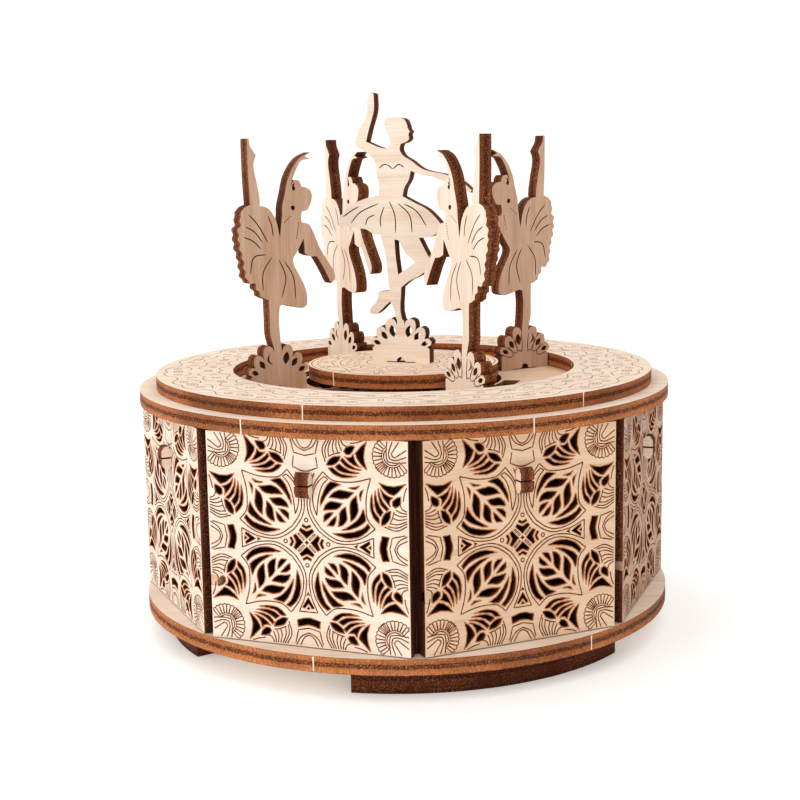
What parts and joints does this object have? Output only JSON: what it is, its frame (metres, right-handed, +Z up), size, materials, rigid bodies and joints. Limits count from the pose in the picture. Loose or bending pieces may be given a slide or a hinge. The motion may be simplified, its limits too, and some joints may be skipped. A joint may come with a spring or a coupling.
{
  "type": "music box",
  "caption": "Round pierced plywood jewellery box with wedge drawers and a clockwork top on which a centre dancer and a ring of dancers turn opposite ways.",
  "frame": {"origin": "on the resting surface under the feet, on the case's vertical axis", "axes": "+Z up; -Y is the front, where a divider between two drawers faces"},
  "size_m": [0.16, 0.16, 0.16],
  "materials": {
    "birch_plywood": "sanded, laser-cut edges burnt brown",
    "inner_plywood": "sanded, laser-cut edges burnt brown",
    "dark_plywood": "burnt edge plies",
    "dark_board": "dark stained, slight gloss",
    "brass": "satin",
    "steel": "satin"
  },
  "bodies": {
    "case": {"base_plate": "birch_plywood", "feet": "dark_plywood", "dividers": "inner_plywood", "core_wall": "inner_plywood", "gear_deck": "birch_plywood", "flange_plate": "birch_plywood", "top_ring": "birch_plywood", "movement_plate": "brass", "spring_barrel": "brass", "mainspring": "steel", "comb": "steel", "idler_pins": "steel"},
    "spindle": {"arbor": "steel", "winding_wheel": "birch_plywood", "drive_gear": "brass", "sun_gear": "birch_plywood", "centre_disc": "birch_plywood", "centre_dancer": "birch_plywood"},
    "turntable": {"dancer_ring": "birch_plywood", "ring_gear": "birch_plywood", "ring_dancer_1": "birch_plywood", "ring_dancer_2": "birch_plywood", "ring_dancer_3": "birch_plywood", "ring_dancer_4": "birch_plywood"},
    "idler_1": {"idler_gear_1": "birch_plywood"},
    "idler_2": {"idler_gear_2": "birch_plywood"},
    "tune_drum": {"tune_cylinder": "brass"},
    "air_brake": {"governor": "brass"},
    "drawer_1": {"drawer_front_1": "birch_plywood", "drawer_lining_1": "dark_board", "drawer_tray_1": "inner_plywood", "drawer_pull_1": "birch_plywood"},
    "drawer_2": {"drawer_front_2": "birch_plywood", "drawer_lining_2": "dark_board", "drawer_tray_2": "inner_plywood", "drawer_pull_2": "birch_plywood"},
    "drawer_3": {"drawer_front_3": "birch_plywood", "drawer_lining_3": "dark_board", "drawer_tray_3": "inner_plywood", "drawer_pull_3": "birch_plywood"},
    "drawer_4": {"drawer_front_4": "birch_plywood", "drawer_lining_4": "dark_board", "drawer_tray_4": "inner_plywood", "drawer_pull_4": "birch_plywood"},
    "drawer_5": {"drawer_front_5": "birch_plywood", "drawer_lining_5": "dark_board", "drawer_tray_5": "inner_plywood", "drawer_pull_5": "birch_plywood"},
    "drawer_6": {"drawer_front_6": "birch_plywood", "drawer_lining_6": "dark_board", "drawer_tray_6": "inner_plywood", "drawer_pull_6": "birch_plywood"},
    "drawer_7": {"drawer_front_7": "birch_plywood", "drawer_lining_7": "dark_board", "drawer_tray_7": "inner_plywood", "drawer_pull_7": "birch_plywood"},
    "drawer_8": {"drawer_front_8": "birch_plywood", "drawer_lining_8": "dark_board", "drawer_tray_8": "inner_plywood", "drawer_pull_8": "birch_plywood"}
  },
  "joints": [
    {"name": "spindle_turn", "type": "hinge", "parent": "case", "child": "spindle", "pos_m": [0, 0, 0.04], "axis": [0, 0, 1], "continuous": true},
    {"name": "turntable_turn", "type": "hinge", "parent": "case", "child": "turntable", "pos_m": [0, 0, 0.07], "axis": [0, 0, 1], "continuous": true},
    {"name": "idler_1_turn", "type": "hinge", "parent": "case", "child": "idler_1", "pos_m": [0.024, 0, 0.068], "axis": [0, 0, 1], "continuous": true},
    {"name": "idler_2_turn", "type": "hinge", "parent": "case", "child": "idler_2", "pos_m": [-0.024, 0, 0.068], "axis": [0, 0, 1], "continuous": true},
    {"name": "tune_drum_turn", "type": "hinge", "parent": "case", "child": "tune_drum", "pos_m": [0, 0.0216, 0.045], "axis": [0, 0, 1], "continuous": true},
    {"name": "air_brake_turn", "type": "hinge", "parent": "case", "child": "air_brake", "pos_m": [-0.01594, -0.0092, 0.045], "axis": [0, 0, 1], "continuous": true},
    {"name": "drawer_1_slide", "type": "slide", "parent": "case", "child": "drawer_1", "axis": [0.3827, -0.9239, 0], "range_m": [0, 0.028]},
    {"name": "drawer_2_slide", "type": "slide", "parent": "case", "child": "drawer_2", "axis": [0.9239, -0.3827, 0], "range_m": [0, 0.028]},
    {"name": "drawer_3_slide", "type": "slide", "parent": "case", "child": "drawer_3", "axis": [0.9239, 0.3827, 0], "range_m": [0, 0.028]},
    {"name": "drawer_4_slide", "type": "slide", "parent": "case", "child": "drawer_4", "axis": [0.3827, 0.9239, 0], "range_m": [0, 0.028]},
    {"name": "drawer_5_slide", "type": "slide", "parent": "case", "child": "drawer_5", "axis": [-0.3827, 0.9239, 0], "range_m": [0, 0.028]},
    {"name": "drawer_6_slide", "type": "slide", "parent": "case", "child": "drawer_6", "axis": [-0.9239, 0.3827, 0], "range_m": [0, 0.028]},
    {"name": "drawer_7_slide", "type": "slide", "parent": "case", "child": "drawer_7", "axis": [-0.9239, -0.3827, 0], "range_m": [0, 0.028]},
    {"name": "drawer_8_slide", "type": "slide", "parent": "case", "child": "drawer_8", "axis": [-0.3827, -0.9239, 0], "range_m": [0, 0.028]}
  ],
  "couplings": [
    {"joint": "turntable_turn", "follows": "spindle_turn", "ratio": -0.33333},
    {"joint": "idler_1_turn", "follows": "spindle_turn", "ratio": -1},
    {"joint": "idler_2_turn", "follows": "spindle_turn", "ratio": -1},
    {"joint": "tune_drum_turn", "follows": "spindle_turn", "ratio": -2},
    {"joint": "air_brake_turn", "follows": "spindle_turn", "ratio": -3.6}
  ]
}
